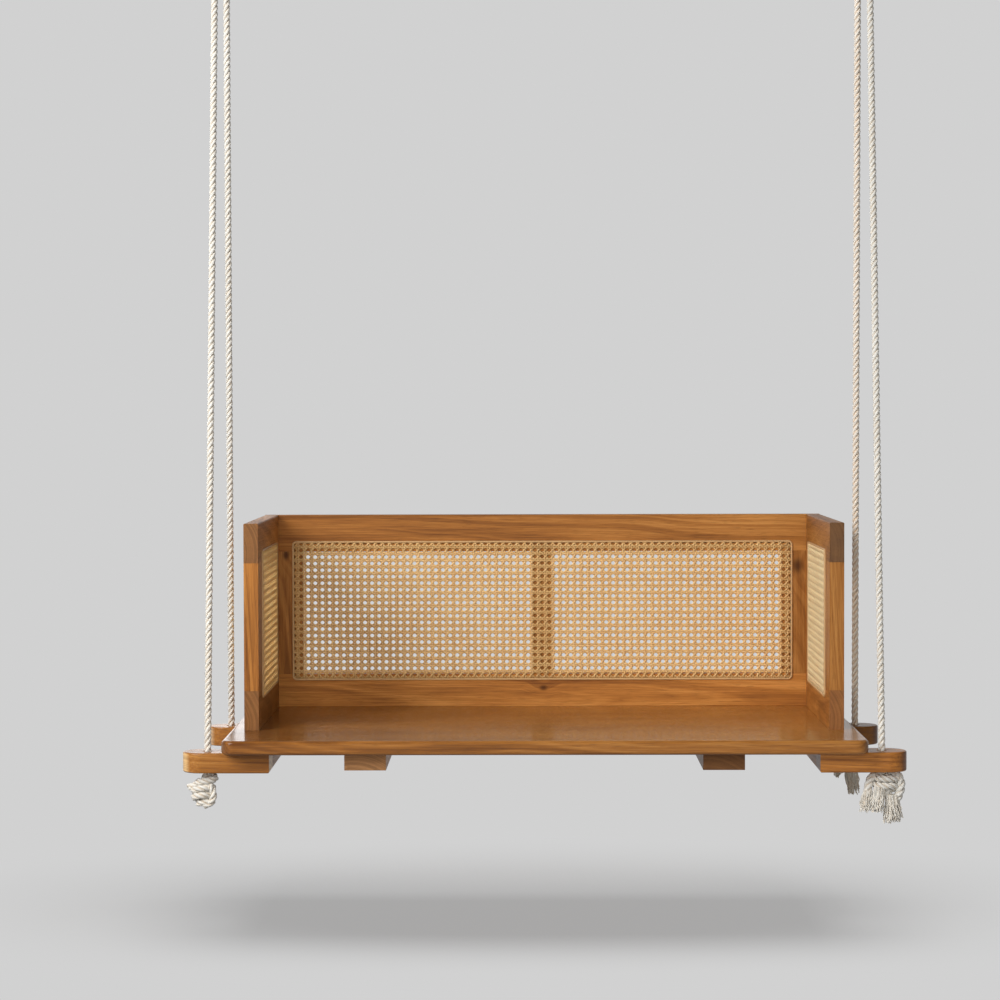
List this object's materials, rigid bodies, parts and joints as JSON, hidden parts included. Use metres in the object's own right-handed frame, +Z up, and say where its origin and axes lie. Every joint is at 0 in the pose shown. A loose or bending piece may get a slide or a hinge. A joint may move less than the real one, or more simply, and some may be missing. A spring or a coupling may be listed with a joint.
{
  "type": "jhoola swing",
  "caption": "Wooden bench swing with a low caned back and caned sides, hung by rope from ceiling hangers.",
  "frame": {"origin": "on the ceiling plane, midway between the two hangers, above the bench's balance line", "axes": "+X along the bench to the sitter's left as seen from the front (the viewer's right), +Y to the back, +Z up"},
  "size_m": [1.2199, 0.61, 1.6882],
  "materials": {
    "wood": "satin, mid orange-brown stained hardwood",
    "cane": "natural woven cane, semi-gloss",
    "reed": "natural reed, semi-gloss",
    "rope": "matt three-strand cotton",
    "galvanised": "zinc plated",
    "screw_steel": "zinc plated",
    "hanger_paint": "satin black powder coat",
    "nylon": "natural nylon"
  },
  "bodies": {
    "hangers": {"hanger_bracket_left": "hanger_paint", "hanger_bracket_right": "hanger_paint", "pivot_bolt_left": "galvanised", "pivot_bolt_right": "galvanised", "pivot_nuts": "galvanised", "pivot_washers": "galvanised"},
    "swing": {"arm_screws": "screw_steel", "back_bottom_rail": "wood", "back_cane": "cane", "back_centre_stile": "wood", "back_left_stile": "wood", "back_right_stile": "wood", "back_spline": "reed", "back_top_rail": "wood", "batten_left": "wood", "batten_right": "wood", "batten_screws": "screw_steel", "cleat_screws": "screw_steel", "corner_screws": "screw_steel", "end_cleat_left": "wood", "end_cleat_right": "wood", "frame_screws": "screw_steel", "knot_front_left": "rope", "knot_front_right": "rope", "knot_rear_left": "rope", "knot_rear_right": "rope", "left_bottom_rail": "wood", "left_cane": "cane", "left_front_stile": "wood", "left_rear_stile": "wood", "left_spline": "reed", "left_top_rail": "wood", "pivot_roller_left": "nylon", "pivot_roller_right": "nylon", "right_bottom_rail": "wood", "right_cane": "cane", "right_front_stile": "wood", "right_rear_stile": "wood", "right_spline": "reed", "right_top_rail": "wood", "rope_arm_front_left": "wood", "rope_arm_front_right": "wood", "rope_arm_rear_left": "wood", "rope_arm_rear_right": "wood", "rope_eye_front_left": "rope", "rope_eye_front_right": "rope", "rope_eye_rear_left": "rope", "rope_eye_rear_right": "rope", "rope_front_left": "rope", "rope_front_right": "rope", "rope_rear_left": "rope", "rope_rear_right": "rope", "seat_board": "wood", "thimble_front_left": "galvanised", "thimble_front_right": "galvanised", "thimble_rear_left": "galvanised", "thimble_rear_right": "galvanised"}
  },
  "joints": [
    {"name": "swing", "type": "hinge", "parent": "hangers", "child": "swing", "pos_m": [0, 0, -0.044], "axis": [1, 0, 0], "range_deg": [-30, 30]}
  ]
}
